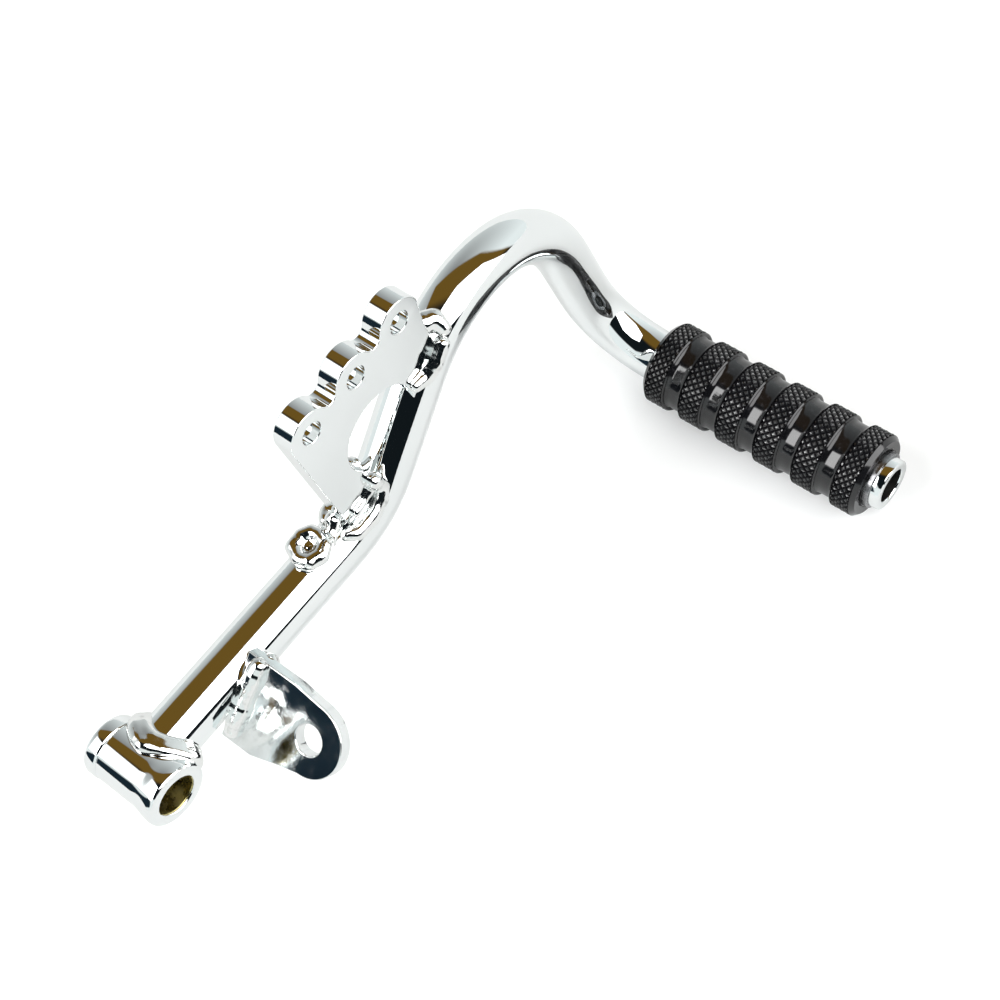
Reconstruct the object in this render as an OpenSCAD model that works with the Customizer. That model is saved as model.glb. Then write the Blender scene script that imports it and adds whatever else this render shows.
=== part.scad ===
// Motorcycle gear shift lever: a bent tube arm with a pivot boss, a three-hole
// linkage bracket, a drilled tab and a knurled toe peg that turns on the tube.
// Millimetres. The pivot bore's centre is the origin, the pivot axis is Y,
// the row of linkage holes runs along X, and the toe peg points to -Y.

/* [Arm tube] */
// Outside diameter of the arm tube
tube_od = 12; // [11:0.5:13]
// Wall of the arm tube
tube_wall = 2; // [1.5:0.25:2.5]
// Length of the straight first stretch, from the pivot to the first bend's corner
arm_reach = 71.1; // [70.5:0.1:72]
// Angle by which the first stretch drops below the row of linkage holes
arm_drop = 7.4; // [7:0.1:8]
// Radius of the first bend, at the tube's centreline
rise_bend_r = 26; // [22:1:34]
// Radius of the bend at the top of the crook
crown_bend_r = 29; // [26:1:30]
// Radius of the bend where the crook turns down
fall_bend_r = 27; // [24:1:28]
// Radius of the last bend, into the toe peg
peg_bend_r = 18; // [16:1:18]

/* [Pivot boss] */
// Diameter of the pivot bore
pivot_bore_d = 9; // [8:0.5:9.5]
// Wall of the bronze bush in the pivot bore
pivot_bush_wall = 1; // [0.75:0.25:1.25]
// Outside diameter of the boss at its waist
boss_waist_d = 13.2; // [13:0.1:13.6]
// Outside diameter of the boss at its flared outer end
boss_flare_d = 14.6; // [14:0.1:15]
// Length of the boss, both ends included
boss_len = 20; // [19:0.5:22]
// Width of the collar at the inner end
collar_w = 3.6; // [3:0.1:4]

/* [Linkage bracket] */
// Thickness of the bracket plate
bracket_t = 5; // [4:0.5:5.5]
// Distance between two linkage holes
hole_pitch = 13.75; // [13.5:0.25:14]
// Diameter of the linkage holes
hole_d = 5; // [4.5:0.5:6]
// Outside radius of the lobe around each hole
lobe_r = 5.6; // [5.4:0.1:6.2]
// Height of the row of holes above the pivot
hole_rise = 32.3; // [31:0.1:33]
// Distance from the pivot to the first hole
hole_start = 69.3; // [68.5:0.1:70]

/* [Tab] */
// Thickness of the tab
tab_t = 3; // [2.5:0.5:4]
// Diameter of the tab's hole
tab_hole_d = 6.6; // [6:0.1:7]
// Distance from the tube's axis to the tab's hole
tab_reach = 23.8; // [22:0.1:25]
// Outside radius of the tab's round end
tab_end_r = 8.2; // [7.5:0.1:9]
// Distance from the pivot to the tab, along the arm
tab_at = 24; // [23:0.5:26]
// Angle between the tab and the arm
tab_tilt = 45; // [40:1:50]

/* [Toe peg] */
// Outside diameter of the toe peg over its knurled lands
peg_d = 20; // [19:0.5:21]
// Length of the toe peg
peg_len = 56.8; // [56:0.2:60]
// Number of knurled lands
peg_lands = 6; // [5:1:7]
// Depth of the smooth grooves between the lands
groove_depth = 1.1; // [0.8:0.1:1.3]
// Share of the pitch that a land takes
land_share = 0.6; // [0.5:0.05:0.65]
// Width of the chamfer on each land
land_chamfer = 0.5; // [0.3:0.1:0.7]

/* [Hidden] */
$fn = 64;

tube_r = tube_od / 2;
tube_bore_r = tube_r - tube_wall;

// The tube's corners, before the bends round them off.
corners = [
    [0, 0, 0],
    [arm_reach * cos(arm_drop), 0, -arm_reach * sin(arm_drop)],
    [109.7, 2.6, 16.9],
    [140.9, 5.4, 2.8],
    [143, 0, -45.7]
];
peg_x = corners[4].x;
peg_z = corners[4].z;
peg_start = -17.7;
peg_end = peg_start - peg_len;
tube_end = peg_end - 3.7;
bend_rs = [0, rise_bend_r, crown_bend_r, fall_bend_r, peg_bend_r];
all_corners = concat(corners, [[peg_x, tube_end, peg_z]]);

function unit(v) = v / norm(v);
function turn_angle(i) = acos(unit(all_corners[i] - all_corners[i - 1]) * unit(all_corners[i + 1] - all_corners[i]));
function set_back(i) = i == 0 || i == len(all_corners) - 1 ? 0 : bend_rs[i] * tan(turn_angle(i) / 2);
function leg_dir(i) = unit(all_corners[i + 1] - all_corners[i]);
function leg_start(i) = all_corners[i] + leg_dir(i) * set_back(i);
function leg_end(i) = all_corners[i + 1] - leg_dir(i) * set_back(i + 1);

lap_half = 0.3;
lap_step = 0.02;

chrome_tint = [0.80, 0.81, 0.82];
weld_tint = [0.70, 0.70, 0.69];
black_tint = [0.05, 0.05, 0.055];
bronze_tint = [0.55, 0.42, 0.22];
steel_tint = [0.55, 0.56, 0.57];

boss_half = boss_len / 2;
bush_r = pivot_bore_d / 2 + pivot_bush_wall;
boss_side = [
    [boss_waist_d / 2, -boss_half + collar_w],
    [boss_waist_d / 2, boss_half - 6.5],
    [boss_flare_d / 2, boss_half - 3.6],
    [boss_flare_d / 2, boss_half - 1],
    [boss_flare_d / 2 - 0.8, boss_half]
];
collar_r = boss_waist_d / 2 + 0.2;
arm_dir = leg_dir(0);
arm_turn = arm_drop;
rise_dir = leg_dir(1);
rise_turn = -atan2(rise_dir.z, norm([rise_dir.x, rise_dir.y]));

peg_pitch = peg_len / (peg_lands - 1 + land_share);
land_w = peg_pitch * land_share;
peg_r = peg_d / 2;
peg_bush_r = tube_r + 1;
ring_groove_w = 1.1;
ring_groove_at = peg_end - 0.9;

// A straight round bar from a to b.
module bar(a, b, r) {
    d = b - a;
    translate(a)
        rotate([0, acos(d.z / norm(d)), atan2(d.y, d.x)])
            cylinder(h = norm(d), r = r);
}

// The round elbow at corner i, with its axes taken from the two legs.
module elbow(i, r) {
    back = -leg_dir(i - 1);
    ahead = leg_dir(i);
    centre = all_corners[i] + unit(back + ahead) * bend_rs[i] / cos(turn_angle(i) / 2);
    out = unit(leg_end(i - 1) - centre);
    side = unit(cross(cross(out, ahead), out));
    up = cross(out, side);
    multmatrix([
        [out.x, side.x, up.x, centre.x],
        [out.y, side.y, up.y, centre.y],
        [out.z, side.z, up.z, centre.z],
        [0, 0, 0, 1]
    ])
        rotate_extrude(angle = turn_angle(i))
            translate([bend_rs[i], 0])
                circle(r = r);
}

// A hair's breadth of collar laps each joint between a leg and an elbow, so
// that the run is one solid.
module lap(at, along, r) {
    bar(at - along * lap_half, at + along * lap_half, r + lap_step);
}

// The whole run of the tube at one radius: five straight legs and four elbows.
module run(r, stretch = 0) {
    for (i = [0 : 4])
        bar(leg_start(i), leg_end(i) + (i == 4 ? leg_dir(4) * stretch : [0, 0, 0]), r);
    for (i = [1 : 4]) {
        elbow(i, r);
        lap(leg_end(i - 1), leg_dir(i - 1), r);
        lap(leg_start(i), leg_dir(i), r);
    }
}

// The solid tube round the first two bends, to cut from what is welded on.
module tube_under_bracket() {
    bar(leg_start(0), leg_end(0), tube_r);
    elbow(1, tube_r);
    bar(leg_start(1), leg_end(1), tube_r);
    elbow(2, tube_r);
    for (i = [1, 2])
        lap(leg_end(i - 1), leg_dir(i - 1), tube_r);
    lap(leg_start(1), leg_dir(1), tube_r);
}

// A disc or ring that lies on the pivot axis direction, from y0 towards -Y.
module ring_y(x, z, y0, w, r_out, r_in) {
    translate([x, y0, z])
        rotate([90, 0, 0])
            difference() {
                cylinder(h = w, r = r_out);
                if (r_in > 0)
                    translate([0, 0, -1])
                        cylinder(h = w + 2, r = r_in);
            }
}

// Anything built along X from the pivot, turned down onto the arm's line.
module on_arm() {
    rotate([0, arm_turn, 0])
        children();
}

// Anything built along X from the first bend, turned up onto the rising leg.
module on_rise() {
    translate(corners[1])
        rotate([0, rise_turn, atan2(rise_dir.y, rise_dir.x)])
            children();
}

// The boss and its collar without the bore, to cut from what is welded on.
module boss_blank() {
    rotate([90, 0, 0])
        rotate_extrude()
            polygon(concat(
                [[0, -boss_half], [collar_r, -boss_half], [collar_r, -boss_half + collar_w]],
                boss_side,
                [[0, boss_half]]
            ));
}

module arm_tube() {
    color(chrome_tint)
        difference() {
            run(tube_r);
            run(tube_bore_r, 1);
            boss_blank();
            ring_y(peg_x, peg_z, ring_groove_at + ring_groove_w / 2, ring_groove_w, tube_r + 1, tube_r - 0.6);
            // the tip's rim is broken, outside and inside
            translate([peg_x, tube_end, peg_z])
                rotate([90, 0, 0])
                    rotate_extrude() {
                        polygon([[tube_r + 1, -0.6], [tube_r, -0.6], [tube_r - 0.6, 0], [tube_r - 0.6, 1], [tube_r + 1, 1]]);
                        polygon([[0, -0.4], [tube_bore_r, -0.4], [tube_bore_r + 0.4, 0], [tube_bore_r + 0.4, 1], [0, 1]]);
                    }
        }
}

// The boss is turned: a waist, a flare at the outer end and a rounded face.
module pivot_boss() {
    color(chrome_tint)
        rotate([90, 0, 0])
            rotate_extrude()
                polygon(concat(boss_side, [[bush_r, boss_half], [bush_r, -boss_half + collar_w]]));
}

module pivot_collar() {
    r = collar_r;
    color(chrome_tint)
        rotate([90, 0, 0])
            rotate_extrude()
                polygon([
                    [bush_r, -boss_half],
                    [r - 0.9, -boss_half],
                    [r, -boss_half + 0.9],
                    [r, -boss_half + collar_w - 0.3],
                    [r - 0.3, -boss_half + collar_w],
                    [bush_r, -boss_half + collar_w]
                ]);
}

module pivot_bush() {
    color(bronze_tint)
        ring_y(0, 0, boss_half - 0.4, boss_len - 0.8, bush_r, pivot_bore_d / 2);
}

// A fillet all round the tube's end, where it sits on the boss.
module boss_weld() {
    color(weld_tint)
        difference() {
            on_arm()
                translate([boss_waist_d / 2 - 1.6, 0, 0])
                    rotate([0, 90, 0])
                        rotate_extrude()
                            polygon([
                                [tube_r, -3.6], [tube_r + 0.4, -3.6], [tube_r + 1.5, -1.6], [tube_r + 1.7, 0.8],
                                [tube_r + 1.1, 2.6], [tube_r + 0.1, 4.4], [tube_r, 4.4]
                            ]);
            boss_blank();
        }
}

// A disc across the bracket's thickness, at x and z.
module across(x, z, r, t) {
    ring_y(x, z, t / 2, t, r, 0);
}

// The plate's web and its two feet, which reach down to the tube's centreline.
module bracket_web() {
    left = hole_start - lobe_r + 0.05;
    right = hole_start + 2 * hole_pitch + lobe_r - 0.2;
    web_top = hole_rise + 2.2;
    translate([0, bracket_t / 2, 0])
        rotate([90, 0, 0])
            linear_extrude(height = bracket_t)
                polygon([
                    [left, -8], [left, hole_rise - 0.5], [hole_start, web_top],
                    [right - lobe_r, web_top], [right, hole_rise - 0.5], [right - 1, 24], [right - 1, 11.3],
                    [96.3, 8], [90, 3.9], [81.5, -1.8], [73, -6.3]
                ]);
}

// Three round lobes on a web, with a round window between its two feet.
module linkage_bracket() {
    color(chrome_tint)
        difference() {
            union() {
                bracket_web();
                for (i = [0 : 2])
                    across(hole_start + i * hole_pitch, hole_rise, lobe_r, bracket_t);
            }
            for (i = [0 : 2])
                across(hole_start + i * hole_pitch, hole_rise, hole_d / 2, bracket_t + 2);
            for (i = [0 : 1])
                across(hole_start + (i + 0.5) * hole_pitch, hole_rise + 3.24, 2.1, bracket_t + 2);
            across(81.5, 12.5, 9.8, bracket_t + 2);
            translate([73.2, -bracket_t, -8])
                cube([10.8, 2 * bracket_t, 15.3]);
            tube_under_bracket();
        }
}

// A row of overlapping round ripples from a to b.
module bead(a, b, r, count) {
    for (i = [0 : count - 1])
        translate(a + (b - a) * i / (count - 1))
            sphere(r = r);
}

// A bead in the corner between the bracket's side and the tube.
module lower_bead(side) {
    color(weld_tint)
        difference() {
            bead([64.2, side * 4.1, -3.2], [72.2, side * 4.1, -1.6], 2.5, 5);
            translate([50, -bracket_t / 2, -20])
                cube([40, bracket_t, 60]);
            elbow(1, tube_r);
        }
}

module bracket_weld_lower_front() {
    lower_bead(-1);
}

module bracket_weld_lower_back() {
    lower_bead(1);
}

// A bead in the corner between the bracket's upper foot and the tube.
module upper_bead(side) {
    y = side * 3.9;
    color(weld_tint)
        difference() {
            on_rise()
                bead([30.5, y, 4.9], [37, y, 4.2], 2.5, 4);
            translate([80, -bracket_t / 2, -20])
                cube([40, bracket_t, 60]);
            tube_under_bracket();
        }
}

module bracket_weld_upper_front() {
    upper_bead(-1);
}

module bracket_weld_upper_back() {
    upper_bead(1);
}

// The heavy round weld on top of the tube, with a neck to the bracket's lower corner.
module bracket_weld_heel() {
    color(weld_tint)
        difference() {
            union() {
                translate([55.4, 1, -0.9])
                    sphere(r = 4.5);
                translate([60.9, 0, -0.6])
                    sphere(r = 3.3);
            }
            tube_under_bracket();
            translate([hole_start - lobe_r + 0.05, -10, -20])
                cube([20, 20, 40]);
        }
}

// The round weld that closes the upper foot towards the crook.
module bracket_weld_toe() {
    color(weld_tint)
        difference() {
            translate([102.6, 0, 19.4])
                sphere(r = 3.9);
            tube_under_bracket();
            translate([80, -10, -20])
                cube([hole_start + 2 * hole_pitch + lobe_r - 1.2 - 80, 20, 60]);
        }
}

// Everything on the tab: x runs up the tab's slope, z is its thickness.
module on_tab() {
    translate(arm_dir * tab_at)
        rotate([0, arm_turn - tab_tilt, 0])
            children();
}

module drilled_tab() {
    color(chrome_tint)
        difference() {
            on_tab()
                translate([0, 0, -tab_t])
                    linear_extrude(height = tab_t)
                        difference() {
                            union() {
                                translate([0, -tab_reach])
                                    circle(r = tab_end_r);
                                polygon([
                                    [tab_end_r, -tab_reach], [9, -17], [9, -6],
                                    [-11.5, -3], [-11.5, -12], [-9.2, -19.5], [-tab_end_r, -tab_reach]
                                ]);
                            }
                            translate([0, -tab_reach])
                                circle(d = tab_hole_d);
                        }
            bar([0, 0, 0], arm_dir * 60, tube_r);
        }
}

// A bead along the tab's root, on its upper or its lower face.
module tab_bead(z, from, to) {
    color(weld_tint)
        difference() {
            on_tab()
                bead([from, -6.2, z], [to, -7.6, z], 2.8, 7);
            on_tab()
                translate([-20, -30, -tab_t])
                    cube([40, 40, tab_t]);
            bar([0, 0, 0], arm_dir * 60, tube_r);
        }
}

module tab_weld_upper() {
    tab_bead(0.4, -7, 7);
}

module tab_weld_lower() {
    tab_bead(-tab_t - 0.4, -7, 7);
}

// One turned profile: chamfered lands with smooth grooves between them.
module toe_peg() {
    c = land_chamfer;
    groove_r = peg_r - groove_depth;
    points = concat(
        [[peg_bush_r, 0]],
        [for (i = [0 : peg_lands - 1])
            let(s = i * peg_pitch)
                each concat(
                    [[i == 0 ? peg_r - 1.1 : groove_r, s]],
                    [[peg_r, s + (i == 0 ? 1.1 : c)], [peg_r, s + land_w - (i == peg_lands - 1 ? 1.1 : c)]],
                    [[i == peg_lands - 1 ? peg_r - 1.1 : groove_r, s + land_w]]
                )],
        [[peg_bush_r, peg_len]]
    );
    color(black_tint)
        translate([peg_x, peg_start, peg_z])
            rotate([90, 0, 0])
                rotate_extrude()
                    polygon(points);
}

module peg_bush(y0) {
    color("dimgray")
        ring_y(peg_x, peg_z, y0, 9, peg_bush_r, tube_r + 0.06);
}

module peg_bush_inner() {
    peg_bush(peg_start - 2);
}

module peg_bush_outer() {
    peg_bush(peg_end + 9.6);
}

// A ring fixed on the tube in the peg's mouth keeps the peg from sliding
// towards the bend.
module peg_stop_ring() {
    color(steel_tint)
        ring_y(peg_x, peg_z, peg_start - 0.3, 1.4, tube_r + 0.7, tube_r);
}

module peg_thrust_washer() {
    color(steel_tint)
        ring_y(peg_x, peg_z, peg_end + 0.3, 0.5, tube_r + 0.8, tube_r + 0.06);
}

// The ring in the tube's groove that holds the peg on.
module peg_retaining_ring() {
    color(steel_tint)
        ring_y(peg_x, peg_z, ring_groove_at + ring_groove_w / 2 - 0.05, 1, tube_r + 0.7, tube_r - 0.6);
}

arm_tube();
pivot_boss();
pivot_collar();
pivot_bush();
boss_weld();
linkage_bracket();
bracket_weld_lower_front();
bracket_weld_lower_back();
bracket_weld_upper_front();
bracket_weld_upper_back();
bracket_weld_heel();
bracket_weld_toe();
drilled_tab();
tab_weld_upper();
tab_weld_lower();
toe_peg();
peg_bush_inner();
peg_bush_outer();
peg_stop_ring();
peg_thrust_washer();
peg_retaining_ring();
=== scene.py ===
"""A bent tube gear shift lever with a knurled toe peg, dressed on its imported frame."""

import math
import random

import bmesh
import bpy
from mathutils import Matrix, Vector


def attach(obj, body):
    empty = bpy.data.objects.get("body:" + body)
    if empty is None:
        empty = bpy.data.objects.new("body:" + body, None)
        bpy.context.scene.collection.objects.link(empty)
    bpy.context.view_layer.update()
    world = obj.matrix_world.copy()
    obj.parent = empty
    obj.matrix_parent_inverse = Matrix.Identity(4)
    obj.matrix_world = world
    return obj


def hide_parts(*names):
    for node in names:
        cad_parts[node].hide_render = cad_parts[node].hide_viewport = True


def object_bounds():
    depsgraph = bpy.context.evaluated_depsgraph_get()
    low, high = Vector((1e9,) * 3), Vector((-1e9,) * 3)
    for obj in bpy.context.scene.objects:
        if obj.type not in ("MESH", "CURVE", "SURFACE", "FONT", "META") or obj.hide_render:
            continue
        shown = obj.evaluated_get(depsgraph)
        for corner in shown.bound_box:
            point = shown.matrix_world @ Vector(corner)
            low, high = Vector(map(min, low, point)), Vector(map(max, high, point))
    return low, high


bl_info = {
    "name": "Gear shift lever",
    "version": (1, 0, 0),
    "blender": (4, 5, 0),
    "location": "View3D > Sidebar > Shift lever",
    "description": "Builds the pieces and finishes of a chromed shift lever with a knurled toe peg",
    "category": "Add Mesh",
}

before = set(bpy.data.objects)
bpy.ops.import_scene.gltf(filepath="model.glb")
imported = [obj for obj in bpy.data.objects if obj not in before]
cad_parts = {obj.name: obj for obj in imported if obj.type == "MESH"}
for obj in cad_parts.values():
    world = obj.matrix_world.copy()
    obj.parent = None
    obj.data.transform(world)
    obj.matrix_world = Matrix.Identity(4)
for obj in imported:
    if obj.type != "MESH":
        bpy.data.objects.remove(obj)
CAD_BOX = [list(corner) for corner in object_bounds()]
MM = 0.001


def length(name, description, default):
    return bpy.props.FloatProperty(name=name, description=description, default=default * MM,
                                   min=0.0, precision=5, unit="LENGTH")


def colour(name, description, default):
    return bpy.props.FloatVectorProperty(name=name, description=description, default=default,
                                         size=3, min=0.0, max=1.0, subtype="COLOR")


class LeverSizes(bpy.types.PropertyGroup):
    """The sizes that shape the lever's pieces."""

    tube_r: length("Tube radius", "Outside radius of the arm tube", 6.0)
    bore_r: length("Tube bore", "Radius of the hole in the arm tube", 4.0)
    rise_bend: length("First bend", "Centreline radius of the bend below the bracket", 26.0)
    crown_bend: length("Crown bend", "Centreline radius of the bend at the crook's top", 29.0)
    fall_bend: length("Falling bend", "Centreline radius of the bend where the crook turns down", 27.0)
    peg_bend: length("Peg bend", "Centreline radius of the bend into the toe peg", 18.0)
    boss_half: length("Boss half length", "Half the length of the pivot boss", 10.0)
    boss_waist: length("Boss waist", "Radius of the boss at its waist", 6.6)
    boss_flare: length("Boss flare", "Radius of the boss at its flared end", 7.3)
    bush_r: length("Bush radius", "Outside radius of the bronze bush", 5.5)
    pin_r: length("Pivot bore", "Radius of the pivot bore", 4.5)
    plate_t: length("Bracket thickness", "Thickness of the linkage bracket", 5.0)
    lobe_r: length("Lobe radius", "Radius of the bracket's lobes", 5.6)
    link_hole_r: length("Linkage hole", "Radius of the linkage holes", 2.5)
    tab_t: length("Tab thickness", "Thickness of the drilled tab", 3.0)
    tab_hole_r: length("Tab hole", "Radius of the tab's hole", 3.3)
    peg_r: length("Peg radius", "Radius of the toe peg over its lands", 10.0)
    groove_depth: length("Groove depth", "Depth of the grooves between the lands", 1.1)
    knurl_depth: length("Knurl depth", "Height of the knurl's diamonds", 0.42)
    edge: length("Edge rounding", "Rounding of cut plate edges", 0.28)
    knurl_turns: bpy.props.IntProperty(name="Knurl count", description="Diamonds round the peg",
                                       default=36, min=24, max=90)
    knurl_rows: bpy.props.IntProperty(name="Knurl rows", description="Diamonds across a land",
                                      default=3, min=2, max=9)


class LeverFinishes(bpy.types.PropertyGroup):
    """The colours of the lever's finishes."""

    chrome: colour("Chrome", "Tint of the chrome plate", (0.90, 0.925, 0.925))
    weld: colour("Plated weld", "Tint of the plated weld beads", (0.86, 0.87, 0.86))
    bronze: colour("Bronze", "Colour of the pivot bush", (0.50, 0.44, 0.20))
    anodised: colour("Black anodising", "Colour of the toe peg", (0.006, 0.006, 0.007))
    plastic: colour("Bush plastic", "Colour of the peg's bushes", (0.02, 0.02, 0.02))
    steel: colour("Spring steel", "Colour of the retaining rings", (0.28, 0.28, 0.29))
    floor: colour("Floor", "Colour of the floor", (0.66, 0.67, 0.67))


def sizes():
    return bpy.context.scene.lever_sizes


def finishes():
    return bpy.context.scene.lever_finishes


# ---------------------------------------------------------------- node helpers

def node(tree, kind, inputs=None, **values):
    made = tree.nodes.new(kind)
    for key, value in values.items():
        setattr(made, key, value)
    for key, value in (inputs or {}).items():
        socket = made.inputs[key]
        if isinstance(value, bpy.types.NodeSocket):
            tree.links.new(value, socket)
        else:
            socket.default_value = value
    return made


def calc(tree, operation, first, second=0.0):
    return node(tree, "ShaderNodeMath", {0: first, 1: second}, operation=operation).outputs[0]


def dot(tree, vector, axis):
    made = node(tree, "ShaderNodeVectorMath", {0: vector, 1: axis}, operation="DOT_PRODUCT")
    return made.outputs["Value"]


def remap(tree, value, low, high, to_low=0.0, to_high=1.0, smooth=True):
    return node(tree, "ShaderNodeMapRange",
                {"Value": value, "From Min": low, "From Max": high,
                 "To Min": to_low, "To Max": to_high},
                interpolation_type="SMOOTHSTEP" if smooth else "LINEAR").outputs["Result"]


def blend(tree, factor, first, second):
    made = node(tree, "ShaderNodeMix", data_type="RGBA")
    for key, value in ((0, factor), (6, first), (7, second)):
        if isinstance(value, bpy.types.NodeSocket):
            tree.links.new(value, made.inputs[key])
        elif key == 0:
            made.inputs[key].default_value = value
        else:
            made.inputs[key].default_value = (*value, 1.0)
    return made.outputs[2]


def group(name, inputs, outputs):
    """A new shader node group, with its input and output ends."""
    made = bpy.data.node_groups.new(name, "ShaderNodeTree")
    for title, kind, default in inputs:
        socket = made.interface.new_socket(title, in_out="INPUT", socket_type=kind)
        if default is not None:
            socket.default_value = default
    for title, kind in outputs:
        made.interface.new_socket(title, in_out="OUTPUT", socket_type=kind)
    start = made.nodes.new("NodeGroupInput")
    end = made.nodes.new("NodeGroupOutput")
    return made, start.outputs, end.inputs


def handling_group():
    """Faint smears and fine polishing lines, for metal that has been handled."""
    name = "Handling marks"
    if name in bpy.data.node_groups:
        return bpy.data.node_groups[name]
    made, given, result = group(
        name,
        [("Vector", "NodeSocketVector", None), ("Smear Scale", "NodeSocketFloat", 60.0),
         ("Line Scale", "NodeSocketFloat", 900.0), ("Low", "NodeSocketFloat", 0.03),
         ("High", "NodeSocketFloat", 0.08)],
        [("Roughness", "NodeSocketFloat"), ("Height", "NodeSocketFloat")],
    )
    smear = node(made, "ShaderNodeTexNoise", {"Vector": given["Vector"], "Scale": given["Smear Scale"],
                                              "Detail": 5.0, "Roughness": 0.6})
    fine = node(made, "ShaderNodeTexNoise", {"Vector": given["Vector"], "Scale": given["Line Scale"],
                                             "Detail": 3.0, "Roughness": 0.5})
    mask = remap(made, smear.outputs[0], 0.42, 0.68)
    span = calc(made, "SUBTRACT", given["High"], given["Low"])
    rough = calc(made, "ADD", calc(made, "MULTIPLY", mask, span), given["Low"])
    made.links.new(rough, result["Roughness"])
    lines = calc(made, "MULTIPLY", fine.outputs[0], 0.06)
    made.links.new(calc(made, "ADD", smear.outputs[0], lines), result["Height"])
    return made


def handling(tree, smear_scale, line_scale, low, high):
    place = node(tree, "ShaderNodeTexCoord").outputs["Object"]
    made = node(tree, "ShaderNodeGroup", node_tree=handling_group())
    tree.links.new(place, made.inputs["Vector"])
    for key, value in (("Smear Scale", smear_scale), ("Line Scale", line_scale),
                       ("Low", low), ("High", high)):
        made.inputs[key].default_value = value
    return place, made.outputs["Roughness"], made.outputs["Height"]


def finish_material(name, tint):
    """A material with a Principled shader, its node tree and the shader."""
    made = bpy.data.materials.new(name)
    made.use_nodes = True
    made.diffuse_color = (*tint, 1.0)
    shader = made.node_tree.nodes["Principled BSDF"]
    shader.inputs["Base Color"].default_value = (*tint, 1.0)
    return made, made.node_tree, shader


def bump(tree, shader, height, strength, distance):
    made = node(tree, "ShaderNodeBump", {"Height": height, "Strength": strength, "Distance": distance})
    tree.links.new(made.outputs["Normal"], shader.inputs["Normal"])


def chrome_plate():
    if "Chrome plate" in bpy.data.materials:
        return bpy.data.materials["Chrome plate"]
    tint = tuple(finishes().chrome)
    made, tree, shader = finish_material("Chrome plate", tint)
    place, rough, height = handling(tree, 55.0, 1400.0, 0.028, 0.06)
    shader.inputs["Metallic"].default_value = 1.0
    tree.links.new(rough, shader.inputs["Roughness"])
    haze = node(tree, "ShaderNodeTexNoise", {"Vector": place, "Scale": 22.0, "Detail": 3.0})
    wear_and_knurl_shade = tuple(c * 0.955 for c in tint)
    tree.links.new(blend(tree, remap(tree, haze.outputs[0], 0.45, 0.75), tint, wear_and_knurl_shade),
                   shader.inputs["Base Color"])
    bump(tree, shader, height, 0.05, 0.0004)
    return made


def cast_chrome():
    """Chrome over a plate that was not polished flat first."""
    if "Chrome over rough plate" in bpy.data.materials:
        return bpy.data.materials["Chrome over rough plate"]
    tint = tuple(finishes().chrome)
    made, tree, shader = finish_material("Chrome over rough plate", tint)
    place, rough, height = handling(tree, 320.0, 1500.0, 0.06, 0.15)
    shader.inputs["Metallic"].default_value = 1.0
    tree.links.new(rough, shader.inputs["Roughness"])
    haze = node(tree, "ShaderNodeTexNoise", {"Vector": place, "Scale": 150.0, "Detail": 5.0})
    wear_and_knurl_shade = tuple(c * 0.86 for c in tint)
    tree.links.new(blend(tree, remap(tree, haze.outputs[0], 0.4, 0.7), tint, wear_and_knurl_shade),
                   shader.inputs["Base Color"])
    bump(tree, shader, height, 0.09, 0.0005)
    return made


def weld_plate():
    if "Plated weld" in bpy.data.materials:
        return bpy.data.materials["Plated weld"]
    tint = tuple(finishes().weld)
    made, tree, shader = finish_material("Plated weld", tint)
    place, rough, height = handling(tree, 260.0, 1800.0, 0.05, 0.16)
    shader.inputs["Metallic"].default_value = 1.0
    tree.links.new(rough, shader.inputs["Roughness"])
    pits = node(tree, "ShaderNodeTexNoise", {"Vector": place, "Scale": 420.0, "Detail": 2.0})
    dark = tuple(c * 0.62 for c in tint)
    tree.links.new(blend(tree, remap(tree, pits.outputs[0], 0.58, 0.78), tint, dark),
                   shader.inputs["Base Color"])
    bump(tree, shader, height, 0.12, 0.0005)
    return made


# When its last argument is set, painted shade darkens the hollows between the knurl's diamonds.
def black_anodised(name="Black anodising", low=0.07, high=0.13, wear_and_knurl_shade=False):
    if name in bpy.data.materials:
        return bpy.data.materials[name]
    tint = tuple(finishes().anodised)
    made, tree, shader = finish_material(name, tint)
    place, rough, height = handling(tree, 180.0, 2400.0, low, high)
    shader.inputs["Metallic"].default_value = 0.0
    shader.inputs["IOR"].default_value = 1.58
    tree.links.new(rough, shader.inputs["Roughness"])
    dust = node(tree, "ShaderNodeTexNoise", {"Vector": place, "Scale": 900.0, "Detail": 3.0})
    pale = tuple(c * 2.6 + 0.004 for c in tint)
    tree.links.new(blend(tree, remap(tree, dust.outputs[0], 0.56, 0.74), tint, pale),
                   shader.inputs["Base Color"])
    bump(tree, shader, height, 0.08, 0.0002)
    if wear_and_knurl_shade:
        # Painted shade: the reflection is turned down in the hollows between the diamonds, near the
        # peg's axis, and only the tops of the diamonds, far from the axis, keep it.
        out = node(tree, "ShaderNodeVectorMath", {0: place, 1: PEG_AXIS}, operation="SUBTRACT")
        out = node(tree, "ShaderNodeVectorMath", {0: out.outputs["Vector"], 1: (1.0, 0.0, 1.0)},
                   operation="MULTIPLY")
        reach = node(tree, "ShaderNodeVectorMath", {0: out.outputs["Vector"]}, operation="LENGTH")
        top = sizes().peg_r
        painted_hollow_shade = remap(tree, reach.outputs["Value"], top - sizes().knurl_depth * 0.9, top - 0.02 * MM,
                      0.05, 1.0)
        tree.links.new(painted_hollow_shade, shader.inputs["Specular IOR Level"])
    return made


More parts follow.
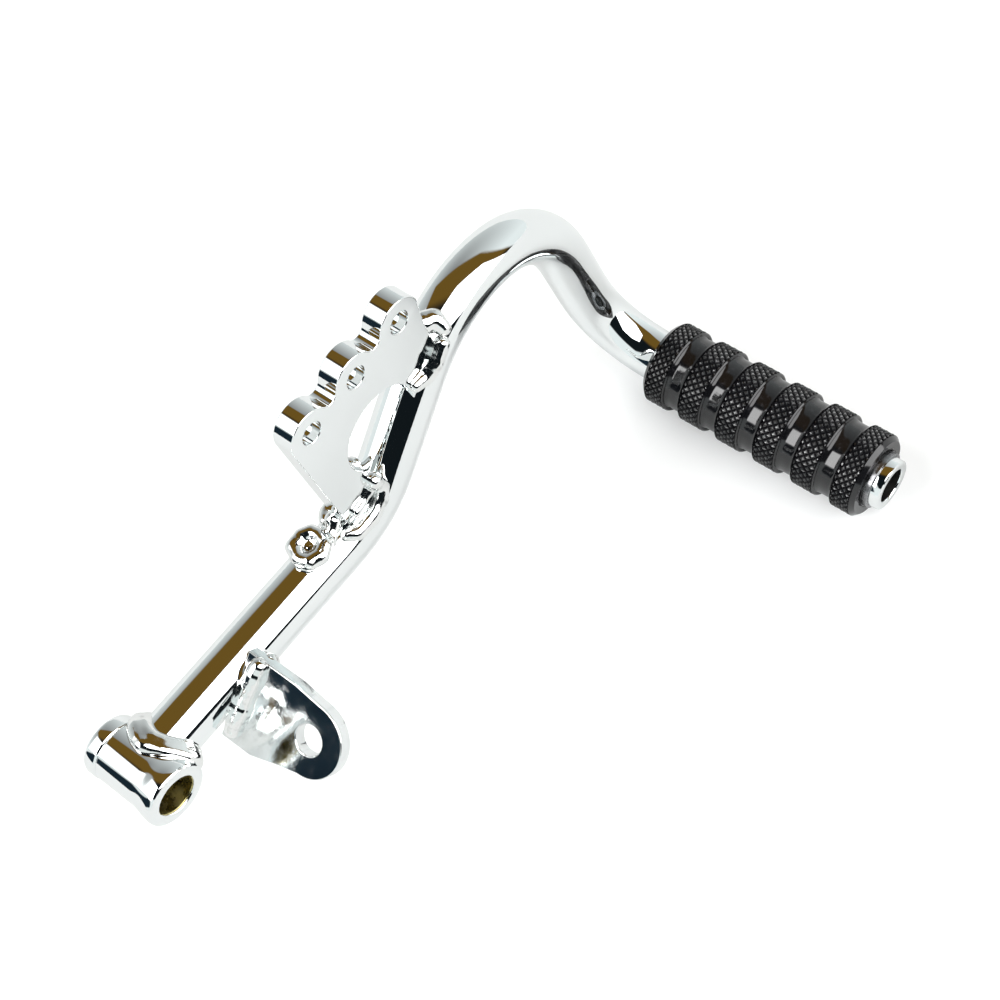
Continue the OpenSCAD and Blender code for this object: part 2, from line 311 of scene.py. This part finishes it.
def plain_metal(name, tint, low, high, scale, strength):
    if name in bpy.data.materials:
        return bpy.data.materials[name]
    made, tree, shader = finish_material(name, tint)
    place, rough, height = handling(tree, scale, scale * 9.0, low, high)
    shader.inputs["Metallic"].default_value = 1.0
    tree.links.new(rough, shader.inputs["Roughness"])
    stain = node(tree, "ShaderNodeTexNoise", {"Vector": place, "Scale": scale * 1.7, "Detail": 4.0})
    dark = tuple(c * 0.55 for c in tint)
    tree.links.new(blend(tree, remap(tree, stain.outputs[0], 0.45, 0.7), tint, dark),
                   shader.inputs["Base Color"])
    bump(tree, shader, height, strength, 0.0003)
    return made


def bronze_bush():
    return plain_metal("Bronze", tuple(finishes().bronze), 0.22, 0.38, 320.0, 0.15)


def ring_steel():
    return plain_metal("Spring steel", tuple(finishes().steel), 0.22, 0.38, 400.0, 0.15)


def tube_bore():
    return plain_metal("Unplated bore", (0.035, 0.034, 0.032), 0.4, 0.6, 260.0, 0.2)


def bush_plastic():
    if "Bush plastic" in bpy.data.materials:
        return bpy.data.materials["Bush plastic"]
    tint = tuple(finishes().plastic)
    made, tree, shader = finish_material("Bush plastic", tint)
    _, rough, height = handling(tree, 240.0, 2600.0, 0.42, 0.58)
    tree.links.new(rough, shader.inputs["Roughness"])
    bump(tree, shader, height, 0.15, 0.0002)
    return made


# --------------------------------------------------------------- shape helpers

CORNERS = [Vector(p) * MM for p in (
    (0.0, 0.0, 0.0), (70.508, 0.0, -9.157), (109.7, 2.6, 16.9), (140.9, 5.4, 2.8),
    (143.0, 0.0, -45.7), (143.0, -78.2, -45.7))]
ARM_DIR = (CORNERS[1] - CORNERS[0]).normalized()
ARM_TURN = math.radians(7.4)
TAB_TURN = math.radians(7.4 - 45.0)
PEG_AXIS = Vector((0.143, 0.0, -0.0457))
PEG_START = -17.7 * MM
PEG_END = -74.5 * MM
ARM_START = 5.4
SWEEP_STEP = 1.2
SWEEP_END = -70.0
EASE_PASSES = 9
# The tip in (y, radius): the ring's groove, the rounded rim, then the bore back up the tube.
TIP = ((-74.85, 6.0), (-74.85, 5.4), (-75.95, 5.4), (-75.95, 6.0), (-77.75, 6.0), (-78.0, 5.9),
       (-78.16, 5.7), (-78.2, 5.45), (-78.2, 4.35), (-78.14, 4.15), (-78.0, 4.04), (-77.8, 4.0),
       (-44.0, 4.0))
COLLAR_LONG = 3.58
LOBES = (69.3, 83.05, 96.8)
LOBE_ROW = 32.3
WINDOW = (81.5, 12.5)
WINDOW_R = 9.8
TAB_AT = 24.0
TAB_EYE = (0.0, -23.8)
LANDS = 6
LAND_SHARE = 0.6
PEG_BORE = 7.0
KNURL_INSET = 0.47
WELD_STEP = 0.4
WELD_GRAIN = 0.25


def centreline(bends, step):
    """Points along the arm's legs and bends, eased where a leg meets a bend."""
    points = [ARM_DIR * ARM_START * MM]

    def straight(to):
        first = points[-1]
        count = max(1, round((to - first).length / step))
        points.extend(first.lerp(to, i / count) for i in range(1, count + 1))

    for index, radius in enumerate(bends, start=1):
        before = (CORNERS[index] - CORNERS[index - 1]).normalized()
        after = (CORNERS[index + 1] - CORNERS[index]).normalized()
        bend = before.angle(after)
        straight(CORNERS[index] - before * radius * math.tan(bend / 2))
        centre = CORNERS[index] + (after - before).normalized() * radius / math.cos(bend / 2)
        axis = before.cross(after).normalized()
        spoke = points[-1] - centre
        count = round(radius * bend / step)
        points.extend(centre + Matrix.Rotation(bend * i / count, 3, axis) @ spoke
                      for i in range(1, count + 1))
    straight(Vector((PEG_AXIS.x, SWEEP_END * MM, PEG_AXIS.z)))
    for _ in range(EASE_PASSES):
        points[1:-1] = [(a + 2 * b + c) / 4 for a, b, c in zip(points, points[1:], points[2:])]
    return points


def add_piece(name, bm, material, body, nodes, smooth=35.0, merge=True):
    """Turns a bmesh into a piece that rides a body and stands for CAD nodes."""
    if merge:
        bmesh.ops.remove_doubles(bm, verts=bm.verts, dist=1e-6)
        bmesh.ops.recalc_face_normals(bm, faces=bm.faces)
    mesh = bpy.data.meshes.new(name)
    bm.to_mesh(mesh)
    bm.free()
    if smooth:
        mesh.shade_smooth()
        mesh.set_sharp_from_angle(angle=math.radians(smooth))
    mesh.materials.append(material)
    made = bpy.data.objects.new(name, mesh)
    bpy.context.scene.collection.objects.link(made)
    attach(made, body)
    if nodes:
        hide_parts(*nodes)
    return made


def soften(bm, width, least=30.0, segments=2):
    """Rounds every edge that turns by more than an angle."""
    sharp = [e for e in bm.edges
             if len(e.link_faces) == 2 and e.calc_face_angle(0.0) > math.radians(least)]
    bmesh.ops.bevel(bm, geom=sharp, offset=width, offset_type="OFFSET", segments=segments,
                    profile=0.5, affect="EDGES", clamp_overlap=True, material=-1)


def turned(bm, profile, centre, steps=96):
    """Spins a closed profile of (radius, y) points about the line along Y through centre."""
    verts = [bm.verts.new((centre.x + r * MM, y * MM, centre.z)) for r, y in profile]
    edges = [bm.edges.new(pair) for pair in zip(verts, verts[1:])]
    edges.append(bm.edges.new((verts[-1], verts[0])))
    bmesh.ops.spin(bm, geom=verts + edges, cent=(centre.x, 0.0, centre.z), axis=(0.0, -1.0, 0.0),
                   angle=math.tau, steps=steps, use_merge=True, use_duplicate=False)


def even_shading(made):
    """Lets the broad faces lead the shading, so that flats stay flat."""
    even = made.modifiers.new("Even shading", "WEIGHTED_NORMAL")
    even.weight = 90
    even.keep_sharp = True


def arc(centre, radius, start, end, count):
    """Points of an arc in a plate's plane, its angles in degrees."""
    turns = [math.radians(start + (end - start) * i / (count - 1)) for i in range(count)]
    return [(centre[0] + radius * math.cos(t), centre[1] + radius * math.sin(t)) for t in turns]


def ring_of_points(centre, radius):
    return arc(centre, radius, 0.0, 360.0, 65)[:-1]


def plate(bm, outline, holes, thickness, rounding):
    """A flat plate in XY with holes cut out, its top at zero, its cut edges rounded."""
    edges = []
    for points in [outline] + holes:
        verts = [bm.verts.new((x * MM, y * MM, 0.0)) for x, y in points]
        edges += [bm.edges.new(pair) for pair in zip(verts, verts[1:] + verts[:1])]
    made = bmesh.ops.triangle_fill(bm, use_beauty=True, use_dissolve=False, edges=edges,
                                   normal=(0.0, 0.0, 1.0))
    faces = [g for g in made["geom"] if isinstance(g, bmesh.types.BMFace)]
    grown = bmesh.ops.extrude_face_region(bm, geom=faces)
    moved = [g for g in grown["geom"] if isinstance(g, bmesh.types.BMVert)]
    bmesh.ops.translate(bm, vec=(0.0, 0.0, -thickness), verts=moved)
    bmesh.ops.recalc_face_normals(bm, faces=bm.faces)
    rims = [e for e in bm.edges if len(e.link_faces) == 2
            and abs(e.calc_face_angle(0.0) - math.pi / 2) < 0.15
            and abs(e.verts[0].co.z - e.verts[1].co.z) < 1e-7]
    bmesh.ops.bevel(bm, geom=rims, offset=rounding, offset_type="OFFSET", segments=3,
                    profile=0.5, affect="EDGES", clamp_overlap=True, material=-1)


# --------------------------------------------------------------------- pieces

class LEVER_OT_arm(bpy.types.Operator):
    """Sweep the bent arm tube, with its tip, from the boss to the peg's end"""

    bl_idname = "lever.arm"
    bl_label = "Arm tube"

    def execute(self, context):
        size = sizes()
        points = centreline([size.rise_bend, size.crown_bend, size.fall_bend, size.peg_bend],
                            SWEEP_STEP * MM)
        ways = [(b - a).normalized() for a, b in zip(points[:1] + points, points[1:] + points[-1:])]
        bm = bmesh.new()
        turn = ways[0].to_track_quat("Z", "Y").to_matrix().to_4x4()
        bmesh.ops.create_circle(bm, segments=96, radius=size.tube_r,
                                matrix=Matrix.Translation(points[0]) @ turn)
        ring = list(bm.edges)

        def onward(edges, shift, about, turn=None, scale=1.0):
            grown = bmesh.ops.extrude_edge_only(bm, edges=edges)["geom"]
            verts = [g for g in grown if isinstance(g, bmesh.types.BMVert)]
            bmesh.ops.translate(bm, vec=shift, verts=verts)
            if turn is not None:
                bmesh.ops.rotate(bm, cent=about, matrix=turn.to_matrix(), verts=verts)
            if scale != 1.0:
                bmesh.ops.scale(bm, vec=(scale, scale, scale), verts=verts,
                                space=Matrix.Translation(-about))
            kept = set(verts)
            return [g for g in grown if isinstance(g, bmesh.types.BMEdge)
                    and g.verts[0] in kept and g.verts[1] in kept]

        for before, after, last, way in zip(points, points[1:], ways, ways[1:]):
            ring = onward(ring, after - before, after, last.rotation_difference(way))
        at = points[-1]

        down = Vector((0.0, -1.0, 0.0))
        radius_now = size.tube_r
        for y, r in TIP:
            to = Vector((PEG_AXIS.x, y * MM, PEG_AXIS.z))
            ring = onward(ring, down * (at.y - to.y), to, scale=r * MM / radius_now)
            at, radius_now = to, r * MM
        bmesh.ops.contextual_create(bm, geom=ring)
        bmesh.ops.holes_fill(bm, edges=[e for e in bm.edges if e.is_boundary], sides=0)
        for face in bm.faces:
            middle = face.calc_center_median()
            if middle.y < -43.0 * MM and (middle.xz - PEG_AXIS.xz).length < 4.01 * MM:
                face.material_index = 1
        add_piece("arm_tube_swept", bm, chrome_plate(), "lever", ["arm_tube"],
                  28.0).data.materials.append(tube_bore())
        return {"FINISHED"}


class LEVER_OT_boss(bpy.types.Operator):
    """Turn the pivot boss, its inner collar and the bronze bush"""

    bl_idname = "lever.boss"
    bl_label = "Pivot boss"

    def execute(self, context):
        size = sizes()
        half, waist, flare = (v / MM for v in (size.boss_half, size.boss_waist, size.boss_flare))
        bush, pin = size.bush_r / MM, size.pin_r / MM
        centre = Vector((0.0, 0.0, 0.0))
        bm = bmesh.new()
        # A fine groove parts the boss from the collar at its inner end.
        swell = [(waist + (flare - waist) * (0.5 + 0.5 * math.cos(math.pi * k / 10)),
                  1.2 + 0.55 * k - half) for k in range(11)]
        turned(bm, [(bush, 0.4 - half), (pin + 0.1, 0.4 - half), (pin + 0.1, 0.25 - half),
                    (pin + 0.35, -half), (flare - 0.85, -half), (flare - 0.4, 0.14 - half),
                    (flare - 0.12, 0.45 - half), *swell, (waist, half - 3.75),
                    (waist - 0.25, half - 3.6), (bush, half - 3.6)], centre)
        soften(bm, 0.2 * MM, 25.0, 3)
        add_piece("pivot_boss_turned", bm, chrome_plate(), "lever", ["pivot_boss"])
        bm = bmesh.new()
        turned(bm, [(bush, half - COLLAR_LONG), (waist - 0.2, half - COLLAR_LONG),
                    (waist + 0.2, half - 3.2),
                    (waist + 0.2, half - 0.9), (waist - 0.05, half - 0.3), (waist - 0.7, half),
                    (bush, half)], centre)
        soften(bm, 0.14 * MM, 25.0, 3)
        add_piece("pivot_collar_turned", bm, chrome_plate(), "lever", ["pivot_collar"])
        bm = bmesh.new()
        turned(bm, [(bush, half - 0.4), (pin + 0.2, half - 0.4), (pin, half - 0.6),
                    (pin, -half + 0.6), (pin + 0.2, -half + 0.4), (bush, -half + 0.4)], centre)
        soften(bm, 0.06 * MM, 25.0, 2)
        add_piece("pivot_bush_turned", bm, bronze_bush(), "lever", ["pivot_bush"])
        return {"FINISHED"}


class LEVER_OT_bracket(bpy.types.Operator):
    """Cut the linkage bracket with its three lobes, holes and window"""

    bl_idname = "lever.bracket"
    bl_label = "Linkage bracket"

    def execute(self, context):
        size = sizes()
        lobe, hole = size.lobe_r / MM, size.link_hole_r / MM
        outline = [(63.75, -8.0)] + arc((LOBES[0], LOBE_ROW), lobe, 180.0, 25.2, 26)
        for left, centre in zip(LOBES, LOBES[1:]):
            last = centre == LOBES[-1]
            outline += arc(((left + centre) / 2, LOBE_ROW + 3.24), 2.0, 205.2, 334.8, 17)[1:-1]
            outline += arc((centre, LOBE_ROW), lobe, 154.8, 0.0 if last else 25.2, 24)
        outline += [(102.2, 31.6), (101.2, 24.0), (101.2, 11.3), (96.3, 8.0), (90.0, 3.9),
                    (81.5, -1.8), (73.0, -6.3)]
        holes = [ring_of_points((x, LOBE_ROW), hole) for x in LOBES]
        # The window runs down into the tube on its lower side.
        holes.append(arc(WINDOW, WINDOW_R, -60.0, 212.0, 56) + [(73.2, -4.0), (84.0, -0.5)])
        bm = bmesh.new()
        plate(bm, outline, holes, size.plate_t, size.edge)
        bmesh.ops.rotate(bm, cent=(0.0, 0.0, 0.0), matrix=Matrix.Rotation(math.pi / 2, 3, "X"),
                         verts=bm.verts)
        bmesh.ops.translate(bm, vec=(0.0, -size.plate_t / 2, 0.0), verts=bm.verts)
        even_shading(add_piece("linkage_bracket_plate", bm, chrome_plate(), "lever",
                               ["linkage_bracket"], 50.0))
        return {"FINISHED"}


class LEVER_OT_tab(bpy.types.Operator):
    """Cut the drilled tab and stand it on the arm's slope"""

    bl_idname = "lever.tab"
    bl_label = "Drilled tab"

    def execute(self, context):
        size = sizes()
        outline = [(9.0, -4.0), (9.0, -17.0)] + arc(TAB_EYE, 8.2, 0.0, -180.0, 40)
        outline += [(-9.2, -19.5), (-11.5, -12.0), (-11.5, -4.0)]
        bm = bmesh.new()
        hole = ring_of_points(TAB_EYE, size.tab_hole_r / MM)
        plate(bm, outline, [hole], size.tab_t, size.edge)
        turn = Matrix.Translation(ARM_DIR * TAB_AT * MM) @ Matrix.Rotation(TAB_TURN, 4, "Y")
        bmesh.ops.transform(bm, matrix=turn, verts=bm.verts)
        even_shading(add_piece("drilled_tab_plate", bm, cast_chrome(), "lever", ["drilled_tab"],
                               50.0))
        return {"FINISHED"}


def weld_bead(name, nodes, runs, seed, wander=0.035, ease_turns=12):
    """Fused beads that swell and narrow along runs of (x, y, z, radius) stations."""
    chance = random.Random(seed)
    bm = bmesh.new()
    for stations in runs:
        sway = Vector((0.0, 0.0, 0.0))
        swell = 0.0
        for first, last in zip(stations, stations[1:] + stations[-1:]):
            start, end = Vector(first[:3]), Vector(last[:3])
            count = max(1, round((end - start).length / WELD_STEP))
            for i in range(count):
                sway = sway * 0.85 + Vector([chance.gauss(0.0, wander) for _ in range(3)])
                swell = swell * 0.85 + chance.gauss(0.0, wander)
                radius = first[3] + (last[3] - first[3]) * i / count + swell
                spot = start.lerp(end, i / count) + sway
                bmesh.ops.create_icosphere(bm, subdivisions=2, radius=radius * MM,
                                           matrix=Matrix.Translation(spot * MM))
    made = add_piece(name, bm, weld_plate(), "lever", nodes, 0.0, merge=False)
    made.data.shade_smooth()
    fuse = made.modifiers.new("Fuse", "REMESH")
    fuse.mode = "VOXEL"
    fuse.voxel_size = WELD_GRAIN * MM
    fuse.use_smooth_shade = True
    ease = made.modifiers.new("Ease", "SMOOTH")
    ease.factor = 0.6
    ease.iterations = ease_turns
    return made


class LEVER_OT_welds(bpy.types.Operator):
    """Lay the weld beads round the boss, the bracket's feet and the tab's root"""

    bl_idname = "lever.welds"
    bl_label = "Weld beads"

    def execute(self, context):
        rings = []
        for out, tall, off, thick in ((5.6, 5.8, 2.0, 1.9), (6.9, 6.1, 0.7, 2.0)):
            ring = []
            for i in range(25):
                around = math.tau * i / 24
                y, z = out * math.sin(around), tall * math.cos(around)
                x = math.sqrt(max(6.6 ** 2 - z * z, 0.0)) + off
                ring.append((*(Matrix.Rotation(ARM_TURN, 3, "Y") @ Vector((x, y, z))),
                             thick + 0.3 * math.sin(3.1 * around)))
            rings.append(ring)
        weld_bead("boss_weld_bead", ["boss_weld"], rings, 3, ease_turns=45)
        for side, word in ((-1, "front"), (1, "back")):
            lower = [[(61.9, side * 3.0, -2.2, 1.5), (63.6, side * 4.2, -3.0, 1.9),
                      (68.1, side * 4.4, -3.4, 1.9), (72.0, side * 4.2, -2.4, 1.8),
                      (74.2, side * 3.7, -0.8, 1.5), (73.9, side * 3.1, 1.2, 1.5),
                      (73.4, side * 3.0, 3.0, 2.1)],
                     [(66.4, side * 2.9, 0.2, 1.2), (69.5, side * 2.9, 0.6, 1.0),
                      (72.0, side * 2.9, 1.2, 1.1)]]
            weld_bead("bracket_weld_lower_" + word + "_bead", ["bracket_weld_lower_" + word], lower,
                      5 + side)
            upper = [[(92.4, side * 3.0, 13.2, 1.5), (95.4, side * 3.2, 12.6, 1.7),
                      (98.6, side * 3.9, 13.8, 1.7), (102.0, side * 3.6, 16.2, 1.6)]]
            weld_bead("bracket_weld_upper_" + word + "_bead", ["bracket_weld_upper_" + word], upper,
                      9 + side)
        weld_bead("bracket_weld_heel_bead", ["bracket_weld_heel"],
                  [[(58.0, 2.5, 0.2, 1.8), (56.0, 4.0, 0.2, 1.7), (53.4, 3.7, 0.3, 1.9),
                    (51.9, 1.0, 0.5, 1.7), (52.8, -1.6, 0.3, 1.9), (55.2, -2.6, 0.1, 2.0),
                    (57.6, -1.6, 0.1, 1.8), (58.4, 0.6, 0.2, 1.7), (58.0, 2.5, 0.2, 1.8)],
                   [(55.2, 1.0, -1.4, 2.4)],
                   [(58.6, -1.8, -1.2, 1.3), (60.6, -0.4, -0.8, 1.3), (62.6, 0.5, -0.2, 2.0)]], 15)
        weld_bead("bracket_weld_toe_bead", ["bracket_weld_toe"],
                  [[(102.4, 0.6, 20.2, 2.6), (104.6, -0.8, 19.9, 2.3), (104.4, -2.5, 18.0, 1.9)],
                   [(102.8, 2.0, 18.2, 2.4)]], 16)
        slope = Matrix.Translation(ARM_DIR * TAB_AT) @ Matrix.Rotation(TAB_TURN, 4, "Y")
        for height, word in ((0.3, "upper"), (-3.3, "lower")):
            run = [(*(slope @ Vector((x, y, height))), r) for x, y, r in
                   ((-8.6, -6.6, 2.0), (-4.0, -6.6, 2.5), (2.0, -7.0, 2.4), (7.6, -7.6, 2.1))]
            weld_bead("tab_weld_" + word + "_bead", ["tab_weld_" + word], [run], 21, 0.06)
        return {"FINISHED"}


class LEVER_OT_peg(bpy.types.Operator):
    """Turn the toe peg's core and lay the diamond knurl on its lands"""

    bl_idname = "lever.peg"
    bl_label = "Toe peg"

    def execute(self, context):
        size = sizes()
        long = (PEG_START - PEG_END) / MM
        pitch = long / (LANDS - 1 + LAND_SHARE)
        land = pitch * LAND_SHARE
        top, low = size.peg_r / MM, (size.peg_r - size.groove_depth) / MM
        deep = size.knurl_depth / MM
        under = top - deep - 0.06
        start = PEG_START / MM
        profile = [(PEG_BORE, start - 0.2), (PEG_BORE + 0.3, start)]
        bands = []
        for i in range(LANDS):
            at = start - i * pitch
            first, last = i == 0, i == LANDS - 1
            lead = 1.0 if first else 0.3
            tail = 1.0 if last else 0.3
            profile += [(top - 1.0, at) if first else (top - 0.3, at)]
            profile += [(top - 0.05, at - lead), (under, at - lead - 0.02),
                        (under, at - land + tail + 0.02), (top - 0.05, at - land + tail)]
            if last:
                profile += [(top - 0.35, at - land + 0.65), (top - 1.0, at - land)]
            else:
                profile += [(top - 0.3, at - land)]
                profile += [(low + 0.35 * abs(k / 5.0 - 1.0) ** 6,
                             at - land - (pitch - land) * k / 10.0) for k in range(11)]
            bands.append((at - lead, at - land + tail))
        profile += [(PEG_BORE + 0.3, PEG_END / MM), (PEG_BORE, PEG_END / MM + 0.2)]
        bm = bmesh.new()
        turned(bm, profile, PEG_AXIS, 128)
        add_piece("toe_peg_core", bm, black_anodised(), "peg", ["toe_peg"], 25.0)

        bm = bmesh.new()
        base = (top - deep) * MM
        for near, far in bands:
            stops = [near + (far - near) * k / size.knurl_rows for k in range(size.knurl_rows + 1)]
            column = [bm.verts.new((PEG_AXIS.x + base, y * MM, PEG_AXIS.z)) for y in stops]
            edges = [bm.edges.new(pair) for pair in zip(column, column[1:])]
            bmesh.ops.spin(bm, geom=column + edges, cent=PEG_AXIS, axis=(0.0, -1.0, 0.0),
                           angle=math.tau, steps=size.knurl_turns, use_merge=True,
                           use_duplicate=False)
        inner = [e for e in bm.edges if len(e.link_faces) == 2]
        bmesh.ops.poke(bm, faces=bm.faces, offset=0.0)
        bmesh.ops.dissolve_edges(bm, edges=inner, use_verts=False, use_face_split=False)
        for face in bm.faces:
            middle = face.calc_center_median()
            out = Vector((middle.x - PEG_AXIS.x, 0.0, middle.z - PEG_AXIS.z))
            if face.normal.dot(out) < 0:
                face.normal_flip()
        bm.normal_update()
        bmesh.ops.inset_individual(bm, faces=bm.faces, thickness=KNURL_INSET * MM,
                                   depth=size.knurl_depth, use_even_offset=True)
        # The knurl's material has painted shade in the hollows between the diamonds.
        add_piece("toe_peg_knurl", bm, black_anodised("Anodised knurl", 0.2, 0.3, True), "peg", [],
                  0.0, merge=False)
        return {"FINISHED"}


class LEVER_OT_small_parts(bpy.types.Operator):
    """Give the peg's bushes, washer and rings their finishes"""

    bl_idname = "lever.small_parts"
    bl_label = "Bushes and rings"

    def execute(self, context):
        bushes = ("peg_bush_inner", "peg_bush_outer")
        rings = ("peg_stop_ring", "peg_thrust_washer", "peg_retaining_ring")
        for names, material in ((bushes, bush_plastic()), (rings, ring_steel())):
            for name in names:
                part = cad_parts[name]
                part.data.materials.clear()
                part.data.materials.append(material)
        return {"FINISHED"}


# ---------------------------------------------------------------------- stage

# The camera's place, and its axes backward, right and up. The lights are laid out round the first axis.
CAMERA_AT = (0.0121, -0.1865, 0.3369)
KEY_FACE = ((-0.1909, -0.4201, 0.8872), (0.5925, -0.7699, -0.2371), (0.7826, 0.4804, 0.3959))


def region(tree, spot, corners, soft):
    """A soft-edged convex patch on a flat map of directions; its corners run anticlockwise."""
    mask = None
    for first, last in zip(corners, corners[1:] + corners[:1]):
        out = Vector((last[1] - first[1], first[0] - last[0], 0.0)).normalized()
        edge = out.dot(Vector((*first, 0.0)))
        side = remap(tree, dot(tree, spot, out), edge - soft / 2, edge + soft / 2, 1.0, 0.0)
        mask = side if mask is None else calc(tree, "MULTIPLY", mask, side)
    return mask


def studio_world():
    """A pale light tent with one big softbox, seen past the dark edge of its opening."""
    world = bpy.data.worlds.new("Studio tent")
    bpy.context.scene.world = world
    world.use_nodes = True
    tree = world.node_tree
    tree.nodes.clear()
    way = node(tree, "ShaderNodeTexCoord").outputs["Generated"]
    ahead, right, up = (dot(tree, way, axis) for axis in KEY_FACE)
    angle = calc(tree, "DEGREES", calc(tree, "ARCCOSINE", ahead))
    flat = node(tree, "ShaderNodeCombineXYZ", {"X": right, "Y": up}).outputs[0]
    spread = node(tree, "ShaderNodeVectorMath", {0: flat}, operation="NORMALIZE").outputs["Vector"]
    spot = node(tree, "ShaderNodeVectorMath", {0: spread}, operation="SCALE")
    tree.links.new(angle, spot.inputs["Scale"])
    spot = spot.outputs["Vector"]
    # The tent is shaded where it nears the corner of its opening.
    near = node(tree, "ShaderNodeVectorMath", {0: spot, 1: (-30.0, 58.0, 0.0)}, operation="DISTANCE")
    shade = remap(tree, near.outputs["Value"], 2.0, 92.0, smooth=False)
    view = blend(tree, shade, (0.20, 0.205, 0.205), (0.86, 0.92, 0.92))
    gap = region(tree, spot, [(-60, 66), (-38, -26), (40, -58), (78, -56), (96, -40), (114, -8),
                               (104, 14), (70, 36), (20, 63), (-24, 68)], 5.0)
    brown = region(tree, spot, [(-76, 90), (-62, 24), (30, 16), (72, 4), (78, 60)], 14.0)
    dark = blend(tree, brown, (0.006, 0.009, 0.011), (0.15, 0.085, 0.015))
    view = blend(tree, gap, view, dark)
    navy = region(tree, spot, [(-104, -10), (-98, -44), (-52, -48), (-54, -26), (-66, -15)], 5.0)
    view = blend(tree, navy, view, (0.010, 0.020, 0.030))
    side_light = region(tree, spot, [(-58, 44), (-88, 0), (-48, -24), (-32, 18)], 4.0)
    view = blend(tree, side_light, view, (1.4, 1.4, 1.4))
    lamp = region(tree, spot, [(-46, 28), (-66, -14), (-48, -24), (-32, 18)], 4.0)
    view = blend(tree, lamp, view, (8.0, 8.0, 8.0))
    box = region(tree, spot, [(10, 32), (-10, 8), (0, -6), (24, -18), (88, -15), (88, 12),
                              (80, 21), (45, 36)], 2.5)
    view = blend(tree, box, view, (4.0, 4.0, 4.0))
    seen = node(tree, "ShaderNodeLightPath").outputs["Is Camera Ray"]
    view = blend(tree, seen, view, (1.0, 1.0, 1.0))
    back = node(tree, "ShaderNodeBackground", {"Color": view, "Strength": 1.0})
    out = node(tree, "ShaderNodeOutputWorld")
    tree.links.new(back.outputs[0], out.inputs["Surface"])


class LEVER_OT_stage(bpy.types.Operator):
    """Lay the pale floor, light the studio and stand the camera"""

    bl_idname = "lever.stage"
    bl_label = "Stage"

    def execute(self, context):
        lowest = CAD_BOX[0][2]
        bm = bmesh.new()
        bmesh.ops.create_grid(bm, x_segments=1, y_segments=1, size=4.0,
                              matrix=Matrix.Translation((0.07, -0.03, lowest - 0.0004)))
        mesh = bpy.data.meshes.new("floor")
        bm.to_mesh(mesh)
        bm.free()
        tint = tuple(finishes().floor)
        made, tree, shader = finish_material("Pale floor", tint)
        shader.inputs["Roughness"].default_value = 0.9
        shader.inputs["Specular IOR Level"].default_value = 0.1
        shader.inputs["Emission Color"].default_value = (1.0, 1.0, 1.0, 1.0)
        seen = node(tree, "ShaderNodeLightPath").outputs["Is Camera Ray"]
        tree.links.new(calc(tree, "MULTIPLY", seen, 0.35), shader.inputs["Emission Strength"])
        mesh.materials.append(made)
        floor = bpy.data.objects.new("floor", mesh)
        context.scene.collection.objects.link(floor)
        studio_world()
        eye = bpy.data.cameras.new("camera")
        eye.lens = 68.13
        eye.sensor_width = 36.0
        eye.clip_start = 0.005
        camera = bpy.data.objects.new("camera", eye)
        context.scene.collection.objects.link(camera)
        ahead, right, up = (Vector(axis) for axis in KEY_FACE)
        camera.matrix_world = Matrix.Translation(CAMERA_AT) @ Matrix(
            (right, up, ahead)).transposed().to_4x4()
        context.scene.camera = camera
        context.scene.view_settings.view_transform = "Standard"
        return {"FINISHED"}


class LEVER_PT_panel(bpy.types.Panel):
    """Lists the lever's pieces and its stage"""

    bl_idname = "LEVER_PT_panel"
    bl_label = "Shift lever"
    bl_space_type = "VIEW_3D"
    bl_region_type = "UI"
    bl_category = "Shift lever"

    def draw(self, context):
        for owner in (context.scene.lever_sizes, context.scene.lever_finishes):
            for key in owner.__annotations__:
                self.layout.prop(owner, key)
        for operator in OPERATORS:
            self.layout.operator(operator.bl_idname)


OPERATORS = (LEVER_OT_arm, LEVER_OT_boss, LEVER_OT_bracket, LEVER_OT_tab, LEVER_OT_welds,
             LEVER_OT_peg, LEVER_OT_small_parts, LEVER_OT_stage)
CLASSES = (LeverSizes, LeverFinishes, *OPERATORS, LEVER_PT_panel)


def register():
    for cls in CLASSES:
        bpy.utils.register_class(cls)
    bpy.types.Scene.lever_sizes = bpy.props.PointerProperty(type=LeverSizes)
    bpy.types.Scene.lever_finishes = bpy.props.PointerProperty(type=LeverFinishes)


def unregister():
    del bpy.types.Scene.lever_finishes
    del bpy.types.Scene.lever_sizes
    for cls in reversed(CLASSES):
        bpy.utils.unregister_class(cls)


def main():
    register()
    bpy.ops.lever.arm()
    bpy.ops.lever.boss()
    bpy.ops.lever.bracket()
    bpy.ops.lever.tab()
    bpy.ops.lever.welds()
    bpy.ops.lever.peg()
    bpy.ops.lever.small_parts()
    bpy.ops.lever.stage()


if __name__ == "__main__":
    main()
